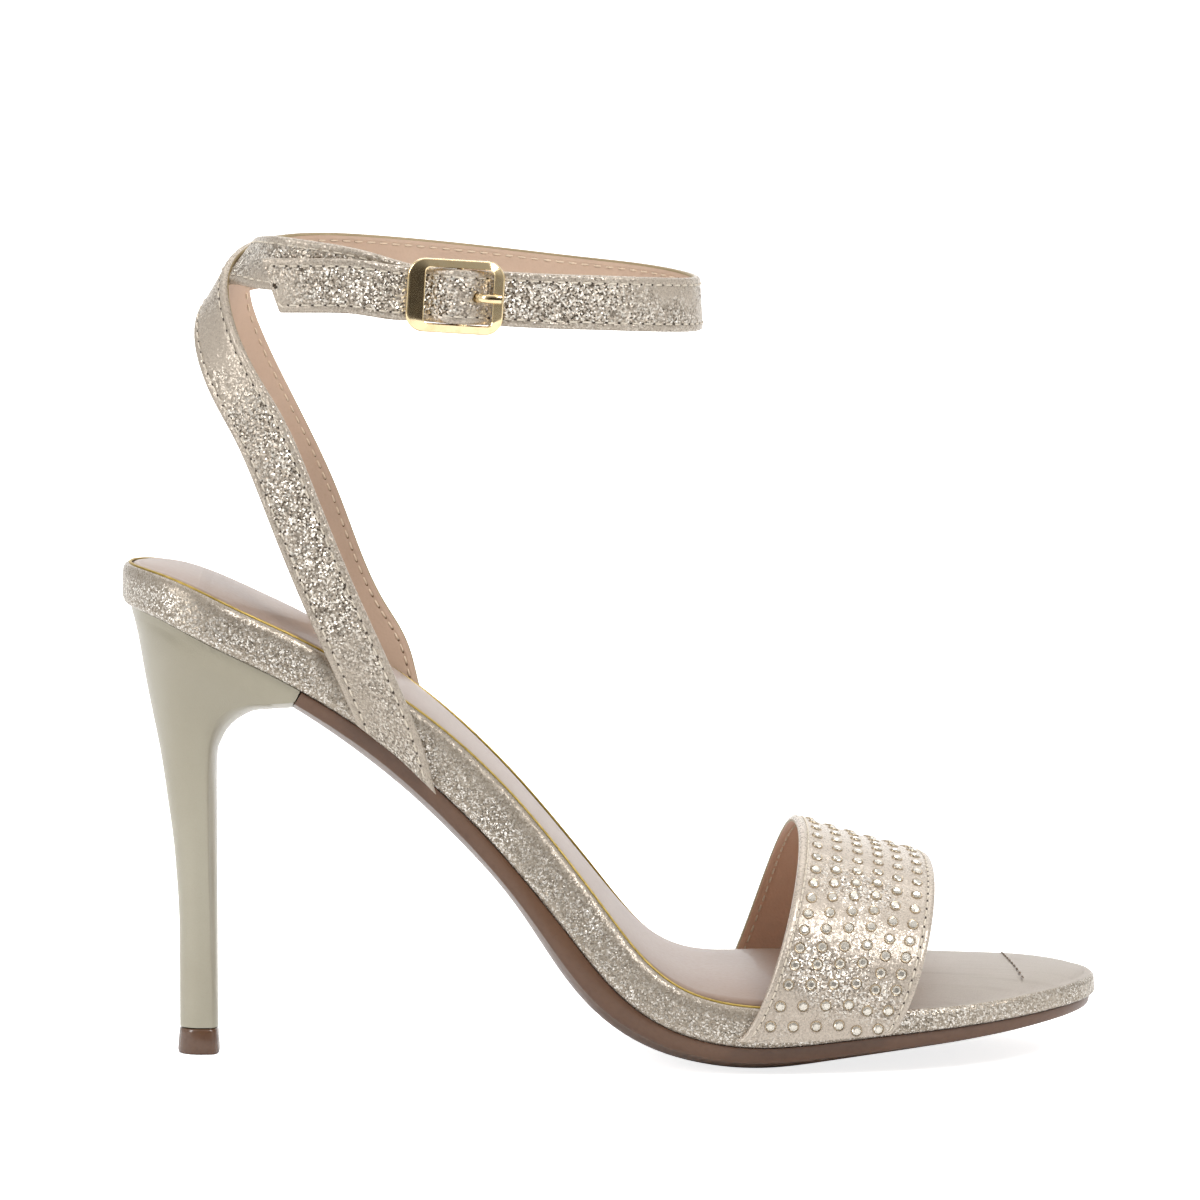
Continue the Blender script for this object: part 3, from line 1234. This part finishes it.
def work_in(obj):
    """Work the object's modifiers into its mesh and remove them."""
    graph = bpy.context.evaluated_depsgraph_get()
    done = obj.evaluated_get(graph)
    mesh = bpy.data.meshes.new_from_object(done, preserve_all_data_layers=True, depsgraph=graph)
    obj.modifiers.clear()
    old = obj.data
    obj.data = mesh
    bpy.data.meshes.remove(old)


def boolean(obj, other, operation):
    step = obj.modifiers.new("cut", "BOOLEAN")
    step.object = other
    step.operation = operation
    step.solver = "EXACT"
    work_in(obj)
    discard(other)
    return obj


def swept(name, points, section, looks, material):
    """Rod of any section (across, up) along points. looks: the way up at each point, or one for all."""
    rings = []
    for i, point in enumerate(points):
        ahead = points[min(i + 1, len(points) - 1)] - points[max(i - 1, 0)]
        tangent = ahead.normalized()
        look = looks[i] if isinstance(looks, list) else looks
        look = (look - tangent * look.dot(tangent)).normalized()
        across = tangent.cross(look)
        rings.append([point + across * a + look * b for a, b in section])
    return loft(name, rings, [material])


def round_section(wide, high, count):
    angles = [2.0 * math.pi * k / count for k in range(count)]
    return [(wide * math.cos(a), high * math.sin(a)) for a in angles]


# Section of the buckle's frame. layer: share of its depth. inset: millimetres from the outer or inner edge
FRAME_OUTSIDE = [
    (-0.50, 0.40), (-0.44, 0.12), (-0.30, 0.0), (-0.04, 0.0), (0.09, 0.05), (0.17, 0.14), (0.22, 0.26),
    (0.24, 0.36),
]
FRAME_INSIDE = [(0.50, 0.17), (0.46, 0.05), (0.38, 0.0), (-0.30, 0.0), (-0.44, 0.12), (-0.50, 0.40)]
FRAME_CORNER_STEPS = 12
BAR_INTO_FRAME = 0.9 * MM


def buckle_body():
    half = 0.5 * BUCKLE_LENGTH
    rise = 0.5 * BUCKLE_HEIGHT
    window = 0.5 * BUCKLE_WINDOW_HEIGHT
    outer = rounded_rectangle(-half, half, -rise, rise, BUCKLE_CORNER, FRAME_CORNER_STEPS)
    inner = rounded_rectangle(WINDOW_REAR, WINDOW_FRONT, -window, window, WINDOW_CORNER, FRAME_CORNER_STEPS)
    rings = []
    for shape, sign, rows in [(outer, 1.0, FRAME_OUTSIDE), (inner, -1.0, FRAME_INSIDE)]:
        for layer, inset in rows:
            ring = []
            for x, z in shape:
                x_in = x - math.copysign(sign * inset * MM, x)
                z_in = z - math.copysign(sign * inset * MM, z)
                ring.append(buckle_point(x_in, layer * FRAME_DEPTH, z_in))
            rings.append(ring)
    low, high = rings[len(FRAME_OUTSIDE) - 1], rings[len(FRAME_OUTSIDE)]
    for k, share in enumerate((0.10, 0.90)):
        rings.insert(len(FRAME_OUTSIDE) + k, [a.lerp(b, share) for a, b in zip(low, high)])
    body = loft("buckle", rings + rings[:1], [gold_metal], caps=(False, False))
    reach = window + BAR_INTO_FRAME
    ends = [buckle_point(BAR_AHEAD, BAR_LAYER, share * reach) for share in (-1.0, 0.0, 1.0)]
    bar = swept("middle bar", ends, round_section(BAR_RADIUS, BAR_RADIUS, 16), OUTWARD, gold_metal)
    return boolean(body, bar, "UNION")


PRONG_STEPS = 24
PRONG_WIDE = 0.95 * MM            # half of its width, and half of its thickness
PRONG_THICK = 0.45 * MM


def prong_body():
    at, length = smooth_path([(point, OUTWARD) for point in prong_points()])
    spots = [at(length * k / PRONG_STEPS) for k in range(PRONG_STEPS + 1)]
    section = round_section(PRONG_WIDE, PRONG_THICK, 14)
    points = [point for point, _, _ in spots]
    return swept("prong", points, section, [look for _, _, look in spots], gold_metal)


# What repeats: Geometry Nodes set a small part along a line or at points


def parts_tree(name, on_line):
    tree, given, out = group_of(
        name,
        [("Geometry", "Geometry"), ("Part", "Object"), ("Spacing", "Float"), ("Unevenness", "Float"),
         ("Seed", "Int"), ("Finish", "Material")],
        [("Geometry", "Geometry")],
        "GeometryNodeTree",
    )

    def stored(label):
        node = add(tree, "GeometryNodeInputNamedAttribute", {"Name": label}, data_type="FLOAT_VECTOR")
        return node.outputs[0]

    def aligned(axis, values, **settings):
        return add(tree, "FunctionNodeAlignRotationToVector", values, axis=axis, **settings).outputs[0]

    if on_line:
        line = add(tree, "GeometryNodeMeshToCurve", {"Mesh": given["Geometry"]}).outputs[0]
        step = {"Curve": line, "Length": given["Spacing"]}
        points = add(tree, "GeometryNodeResampleCurve", step, mode="LENGTH").outputs[0]
        run = add(tree, "GeometryNodeInputTangent").outputs[0]
    else:
        points = given["Geometry"]
        run = stored("run")
    upright = aligned("Z", {"Vector": stored("look")})
    turned = aligned("X", {"Rotation": upright, "Vector": run}, pivot_axis="Z")
    spread = {"Min": maths(tree, "SUBTRACT", 1.0, given["Unevenness"]),
              "Max": maths(tree, "ADD", 1.0, given["Unevenness"]), "Seed": given["Seed"]}
    size = add(tree, "FunctionNodeRandomValue", spread, data_type="FLOAT_VECTOR").outputs[0]
    part = add(tree, "GeometryNodeObjectInfo", {"Object": given["Part"]}).outputs["Geometry"]
    placed = add(tree, "GeometryNodeInstanceOnPoints",
                 {"Points": points, "Instance": part, "Rotation": turned, "Scale": size}).outputs[0]
    real = add(tree, "GeometryNodeRealizeInstances", {0: placed}).outputs[0]
    done = add(tree, "GeometryNodeSetMaterial", {"Geometry": real, "Material": given["Finish"]}).outputs[0]
    tree.links.new(done, out["Geometry"])
    return tree


LINE_TREE = parts_tree("parts along a line", True)
POINT_TREE = parts_tree("parts at points", False)


def set_parts(name, lines, part, finish, spacing, unevenness, seed):
    """New piece with a copy of part along each line or, for single points, at each of them.

    lines: lists of (point, outward look, direction). The part itself is left for the next call.
    """
    points, looks, runs, edges = [], [], [], []
    for line in lines:
        for k, (point, look, run) in enumerate(line):
            if k:
                edges.append((len(points) - 1, len(points)))
            points.append(tuple(point))
            looks += tuple(look)
            runs += tuple(run)
    mesh = bpy.data.meshes.new(name)
    mesh.from_pydata(points, edges, [])
    for label, vectors_of in (("look", looks), ("run", runs)):
        mesh.attributes.new(label, "FLOAT_VECTOR", "POINT").data.foreach_set("vector", vectors_of)
    obj = linked(name, mesh)
    tree = LINE_TREE if edges else POINT_TREE
    step = obj.modifiers.new("parts", "NODES")
    step.node_group = tree
    values = {"Part": part, "Spacing": spacing, "Unevenness": unevenness, "Seed": seed, "Finish": finish}
    for item in tree.interface.items_tree:
        if item.in_out == "INPUT" and item.name in values:
            step[item.identifier] = values[item.name]
    work_in(obj)
    for label in ("look", "run"):
        if label in obj.data.attributes:
            obj.data.attributes.remove(obj.data.attributes[label])
    return obj


def lathe(profile, count):
    """Rings of (radius, height) round the Z axis."""
    angles = [2.0 * math.pi * k / count for k in range(count)]
    return [[Vector((r * math.cos(a), r * math.sin(a), z)) for a in angles] for r, z in profile]


# Thread of one stitch. share of its half length, share of its thickness, height in millimetres
STITCH_ROWS = [
    (-1.0, 0.35, -0.16), (-0.8, 0.85, 0.02), (-0.3, 1.0, 0.12), (0.3, 1.0, 0.12), (0.8, 0.85, 0.02),
    (1.0, 0.35, -0.16),
]
STITCH_HALVES = (0.95, 0.21, 0.19)       # half its length, width and thickness, in millimetres


def stitch_part():
    """Thread of one stitch, lying along X, its ends dipping in."""
    rings = []
    long_half, wide_half, thick_half = STITCH_HALVES
    for share, size, height in STITCH_ROWS:
        ring = []
        for k in range(6):
            angle = 2.0 * math.pi * k / 6
            across = wide_half * size * math.cos(angle)
            ring.append(Vector((share * long_half, across, height + thick_half * size * math.sin(angle))) * MM)
        rings.append(ring)
    return loft("stitch part", rings)


def needle_hole_part():
    rings = lathe([(0.30 * MM, -0.25 * MM), (0.31 * MM, 0.05 * MM), (0.16 * MM, 0.07 * MM)], 8)
    return loft("needle hole part", [[Vector((1.5 * p.x, 0.9 * p.y, p.z)) for p in ring] for ring in rings])


STONE_RADIUS = 0.5 * 2.25 * MM
# Stone and cup. radius and height as shares of the stone's radius
STONE_ROWS = [(0.90, -0.12), (0.98, 0.06), (0.82, 0.32), (0.50, 0.48)]
CUP_ROWS = [(0.80, -0.12), (1.14, -0.12), (1.17, 0.10), (1.06, 0.26), (0.93, 0.22), (0.86, 0.02)]


def stone_part():
    """Cut stone: a table, a row of slanted facets and a steep edge."""
    rings = []
    for k, ring in enumerate(lathe([(r * STONE_RADIUS, z * STONE_RADIUS) for r, z in STONE_ROWS], 8)):
        turn = Matrix.Rotation(math.pi * k / 8, 3, "Z")
        rings.append([turn @ p for p in ring])
    part = loft("stone part", rings)
    part.data.shade_flat()
    return part


def cup_part():
    return loft("cup part", lathe([(r * STONE_RADIUS, z * STONE_RADIUS) for r, z in CUP_ROWS], 12))


# Pieces of the shoe

STRAP_SLOT = "champagne glitter strap"
WRAP_SLOT = "champagne glitter wrap"

wear(footbed_body(), WRAP_SLOT, "footbed_wrap")
sock = wear(sock_body(), "pink beige sock", "insole_sock")
wear(outsole_body(), "brown outsole", "outsole")
wear(heel_body(), "satin champagne heel", "heel")
wear(top_lift_body(), "brown top lift", "top_lift")
wear(vamp_body(), STRAP_SLOT, "vamp_strap")

OUTER = ankle_surface(outer_rows(), 1.0, 1.0)
INNER = ankle_surface(inner_rows(), -1.0, 0.0)
outer_strap = ankle_strap("outer_ankle_strap", OUTER)
inner_strap = ankle_strap("inner_ankle_strap", INNER)


def strap_place_at(surface, x, low, high):
    """Place along a strap where its middle reaches a world x, between two places."""
    for _ in range(40):
        middle = 0.5 * (low + high)
        if (surface[0](middle, 0.0)[0].x - x) * (surface[0](low, 0.0)[0].x - x) > 0.0:
            low = middle
        else:
            high = middle
    return 0.5 * (low + high)


# Spare holes of the buckled end, as world x, and their width
HOLE_PLACES = [-66.8 * MM, -54.0 * MM, -46.6 * MM]
HOLE_RADIUS = 0.72 * MM
CUTTER_REACH = 1.6 * MM
PRONG_HOLE_WIDE = 1.15 * MM       # half of its width, and half of its height
PRONG_HOLE_HIGH = 0.85 * MM
OVERLAP_FRONT = -14.0 * MM        # world x in the buckled end's last stretch, ahead of the buckle
OVERLAP_LENGTH = 75.0 * MM


def punch_holes(strap):
    spot, length = OUTER
    front = strap_place_at(OUTER, OVERLAP_FRONT, length - OVERLAP_LENGTH, length)
    for x in HOLE_PLACES:
        point, tangent, look = spot(strap_place_at(OUTER, x, front, length - 2.0 * MM), 0.0)
        ends = [point - look * CUTTER_REACH, point, point + look * CUTTER_REACH]
        section = round_section(HOLE_RADIUS, HOLE_RADIUS, 16)
        boolean(strap, swept("hole cutter", ends, section, tangent, hole_dark), "DIFFERENCE")
    section = round_section(PRONG_HOLE_WIDE, PRONG_HOLE_HIGH, 16)
    cutter = swept("prong hole cutter", prong_points(0.6 * MM), section, OUTWARD, hole_dark)
    boolean(strap, cutter, "DIFFERENCE")


punch_holes(outer_strap)
wear(outer_strap, STRAP_SLOT, "ankle_straps")
wear(inner_strap, STRAP_SLOT, "ankle_straps")
wear(buckle_body(), "pale gold frame", "buckle_frame")
wear(prong_body(), "pale gold prong", "buckle_prong")

# Gold edge line of the sock, from the toe strap round the seat

GOLD_LINE_END = 0.73
GOLD_LINE_INSET = 1.85 * MM
GOLD_LINE_HEIGHT = 0.12 * MM
GOLD_LINE_RADIUS = 0.34 * MM
GOLD_LINE_STEPS = 220


def gold_line():
    points = []
    looks = []
    outer = end_spaced(0.0, GOLD_LINE_END, GOLD_LINE_STEPS, True, False)
    for side, order in ((-1.0, reversed(outer)), (1.0, outer[1:])):
        for along in order:
            u, y = inset_point(along, side, GOLD_LINE_INSET)
            points.append(bed(u, y, GOLD_LINE_HEIGHT))
            looks.append(edge_frame(along)[2])
    section = round_section(GOLD_LINE_RADIUS, GOLD_LINE_RADIUS, 10)
    return swept("gold_edge_line", points, section, looks, gold_edge)


wear(gold_line(), WRAP_SLOT)

# Stitches. Heights are measured from a strap's middle layer: outside above zero, inside below.

STITCH_STEP = 2.9 * MM
REAR_STEP = 1.9 * MM              # of the toe strap's rear seam
FRONT_STEP = 2.6 * MM
SEAM_STEP = 3.1 * MM
EDGE_TO_STITCH = 1.7 * MM
SEAM_REACH = 0.5 * STRAP_WIDTH - EDGE_TO_STITCH
SEAM_START = 2.0 * MM             # from the strap's lower end
SEAM_END = 2.2 * MM               # and from its upper one
VAMP_SPAN = 138.0 * MM            # length of the toe strap from end to end
VAMP_LINE_STEPS = 160
LINE_STEP = 1.5 * MM              # distance of the points of a line
THREAD_HEIGHT = 0.98 * MM
VAMP_THREAD_HEIGHT = 0.97 * MM
HOLE_HEIGHT = 0.90 * MM
LINING_HOLE_HEIGHT = -0.91 * MM
# Sewn row across the toe cover: its first place along, how far its last one lies ahead, its inner end
TOE_SEAM_START = 0.910
TOE_SEAM_LEAD = 0.010
TOE_SEAM_INNER = 12.0 * MM
TOE_SEAM_LENGTH = 28.0 * MM
TOE_SEAM_STEPS = 8


def strap_line(surface, across, offset, height):
    """Line on an ankle strap, at a place across it."""
    spot, length = surface
    start = BASE_SLANT + SEAM_START + offset
    end = length - SEAM_END
    line = []
    count = max(2, round((end - start) / LINE_STEP))
    for k in range(count + 1):
        point, tangent, look = spot(start + (end - start) * k / count, across)
        line.append((point + look * height, look * math.copysign(1.0, height), tangent))
    return line


def ankle_seams(height, offset):
    """Both lines of each ankle strap. Outside, a row along its slanted end joins those of the outer one."""
    lower, upper, *inner = [strap_line(surface, side * SEAM_REACH, offset, height)
                            for surface in (OUTER, INNER) for side in (-1.0, 1.0)]
    if height < 0.0:
        return [lower, upper] + inner
    spot, length = OUTER
    turn = []
    for k in range(1, 6):
        point, _, look = spot(length - SEAM_END, SEAM_REACH * (2.0 * k / 6 - 1.0))
        turn.append((point + look * height, look, Vector((0.0, 0.0, 1.0))))
    return [lower + turn + upper[::-1]] + inner


def vamp_line(edge, height, first, last):
    """Line on the toe strap beside its rear edge (0) or its front edge (1)."""
    line = []
    for k in range(VAMP_LINE_STEPS + 1):
        turn = first + (last - first) * k / VAMP_LINE_STEPS
        share = EDGE_TO_STITCH / vamp_width(turn)
        point, normal, run = vamp_frame(turn, share if edge == 0 else 1.0 - share)
        line.append((point + normal * height, normal * math.copysign(1.0, height), run))
    return line


def toe_seam():
    """Short sewn seam across the toe cover."""
    line = []
    for k in range(TOE_SEAM_STEPS + 1):
        along = TOE_SEAM_START + TOE_SEAM_LEAD * (k / TOE_SEAM_STEPS) ** 1.4
        y = TOE_SEAM_INNER - TOE_SEAM_LENGTH * k / TOE_SEAM_STEPS
        share = (y - BALL_WIDTH * LAST["centre"](along)) / (half_width(along) * end_round(along))
        place = bed(along, y, bed_crown(along, share) + 0.02 * MM)
        line.append((place, edge_frame(along)[2], Vector((0.2, -1.0, 0.0))))
    return line


# Stones of the toe strap, in six columns from the outer end over the top to the inner one

STONE_COLUMNS = [0.122, 0.270, 0.422, 0.574, 0.719, 0.863]
REAR_COLUMNS = 4
# Turn of each row, for the rear columns and for the front ones. The inner half mirrors them.
REAR_TURNS = [
    0.040, 0.083, 0.115, 0.148, 0.178, 0.211, 0.243, 0.275, 0.306, 0.338, 0.370, 0.403, 0.435, 0.468, 0.500,
]
FRONT_TURNS = [
    0.021, 0.077, 0.110, 0.139, 0.171, 0.204, 0.240, 0.276, 0.313, 0.350, 0.388, 0.425, 0.463, 0.500,
]
ROW_LEAN = 0.27                   # how much a row climbs from the rear column to the fourth
STONE_HEIGHT = 1.07 * MM


def stone_places():
    places = []
    for column, w in enumerate(STONE_COLUMNS):
        rear = column < REAR_COLUMNS
        for turn in REAR_TURNS if rear else FRONT_TURNS:
            lean = ROW_LEAN * turn * math.sin(2.0 * math.pi * turn) * (w - 0.35) if rear else 0.0
            # A set, because the topmost row is its own mirror image
            for here in {turn + lean, 1.0 - turn - lean}:
                point, normal, along = vamp_frame(here, w)
                places.append([(point + normal * STONE_HEIGHT, normal, along)])
    return places


thread = stitch_part()
needle_hole = needle_hole_part()
stone = stone_part()
cup = cup_part()
between = 0.5 * STITCH_STEP       # the holes lie between the stitches
trim = [
    # slot, name, lines, part, finish, spacing, unevenness, seed
    (STRAP_SLOT, "ankle_strap_stitches", ankle_seams(THREAD_HEIGHT, 0.0), thread, thread_outside,
     STITCH_STEP, 0.06, 3),
    (STRAP_SLOT, "ankle_strap_needle_holes", ankle_seams(HOLE_HEIGHT, between), needle_hole, hole_dark,
     STITCH_STEP, 0.10, 4),
    (STRAP_SLOT, "ankle_strap_lining_stitches", ankle_seams(-THREAD_HEIGHT, 0.0), thread, thread_inside,
     STITCH_STEP, 0.06, 5),
    (STRAP_SLOT, "ankle_strap_lining_holes", ankle_seams(LINING_HOLE_HEIGHT, between), needle_hole, lining_hole,
     STITCH_STEP, 0.10, 9),
]
for edge, label, step in ((0, "rear", REAR_STEP), (1, "front", FRONT_STEP)):
    sewn = [vamp_line(edge, VAMP_THREAD_HEIGHT, 0.02, 0.98)]
    pierced = [vamp_line(edge, HOLE_HEIGHT, 0.02 + 0.5 * step / VAMP_SPAN, 0.98)]
    trim += [
        (STRAP_SLOT, "toe_strap_" + label + "_stitches", sewn, thread, thread_outside, step, 0.06, 6),
        (STRAP_SLOT, "toe_strap_" + label + "_needle_holes", pierced, needle_hole, hole_dark, step, 0.12, 7),
    ]
lining_seams = [vamp_line(edge, -THREAD_HEIGHT, 0.08, 0.92) for edge in (0, 1)]
gems = stone_places()
trim += [
    (STRAP_SLOT, "toe_strap_lining_stitches", lining_seams, thread, thread_inside, FRONT_STEP, 0.06, 8),
    (WRAP_SLOT, "toe_cover_seam", [toe_seam()], thread, seam_thread, SEAM_STEP, 0.08, 10),
    (STRAP_SLOT, "stones", gems, stone, clear_stone, 1.0, 0.03, 11),
    (STRAP_SLOT, "stone_cups", gems, cup, cup_metal, 1.0, 0.02, 12),
]
for slot_name, *values in trim:
    wear(set_parts(*values), slot_name)
for part in (thread, needle_hole, stone, cup):
    discard(part)

# Floor, backdrop, light and camera


def stage_sheet():
    """Pale floor that turns up into a backdrop, one seamless sheet."""
    line = [(-0.85, 0.0), (1.6, 0.0)]
    angles = [math.pi * k / 32 for k in range(1, 17)]
    line += [(1.6 + 1.2 * math.sin(a), 1.2 - 1.2 * math.cos(a)) for a in angles]
    line.append((2.8, 5.0))
    points = [(x, y, z) for y, z in line for x in (-5.0, 5.0)]
    faces = [(2 * k, 2 * k + 1, 2 * k + 3, 2 * k + 2) for k in range(len(line) - 1)]
    mesh = bpy.data.meshes.new("studio_sheet")
    mesh.from_pydata(points, [], faces)
    mesh.shade_smooth()
    paper = grained_leather("studio paper", (250, 250, 250), (247, 247, 247), 40.0, 0.0, 0.9)
    tree = paper.node_tree
    glow = mix(tree, camera_ray(tree), (0.0, 0.0, 0.0, 1.0), (0.80, 0.80, 0.80, 1.0))
    feed(tree, tree.nodes["Principled BSDF"].inputs, {"Emission Color": glow, "Emission Strength": 1.0})
    mesh.materials.append(paper)
    return linked("studio_sheet", mesh)


sheet = stage_sheet()


def area_light(name, place, aim, size, power):
    data = bpy.data.lights.new(name, "AREA")
    data.shape = "RECTANGLE"
    data.size, data.size_y = size
    data.energy = power
    lamp = linked(name, data)
    lamp.location = place
    lamp.rotation_euler = (Vector(aim) - Vector(place)).to_track_quat("-Z", "Y").to_euler()


area_light("key light", (0.8, -1.3, 1.5), (0.0, 0.0, 0.08), (0.7, 0.6), 20.0)
area_light("left light", (-1.5, -1.0, 0.9), (0.0, 0.0, 0.08), (0.4, 1.0), 10.0)
area_light("top light", (0.0, 0.4, 2.0), (0.0, 0.0, 0.0), (1.8, 1.4), 6.5)
area_light("backdrop light", (0.0, 1.0, 2.4), (0.0, 2.8, 1.2), (3.0, 0.8), 60.0)


def studio_world():
    """White room, dimmer behind the camera so that metal and glitter have something dark to mirror."""
    world = bpy.data.worlds.new("studio")
    world.use_nodes = True
    tree = world.node_tree
    ground = tree.nodes["Background"]
    direction = add(tree, "ShaderNodeTexCoord").outputs["Generated"]
    parts = add(tree, "ShaderNodeSeparateXYZ", {0: direction}).outputs
    dim = ramp(tree, parts["Y"], -0.55, -0.97)
    shade = mix(tree, dim, srgb(250, 250, 250), srgb(50, 42, 34))
    white = srgb(255, 255, 255)
    feed(tree, ground.inputs, {"Color": mix(tree, camera_ray(tree), shade, white), "Strength": 0.72})
    return world


bpy.context.scene.world = studio_world()
bpy.context.scene.view_settings.view_transform = "Standard"

camera_data = bpy.data.cameras.new("camera")
camera_data.lens = CAMERA_LENS
camera_data.sensor_width = 36.0
camera = linked("camera", camera_data)
flat = math.cos(CAMERA_RISE)
back = Vector((math.sin(CAMERA_TURN) * flat, -math.cos(CAMERA_TURN) * flat, math.sin(CAMERA_RISE)))
camera.location = CAMERA_TARGET + back * CAMERA_DISTANCE
camera.rotation_euler = (0.5 * math.pi - CAMERA_RISE, 0.0, CAMERA_TURN)
bpy.context.scene.camera = camera

bpy.context.view_layer.update()
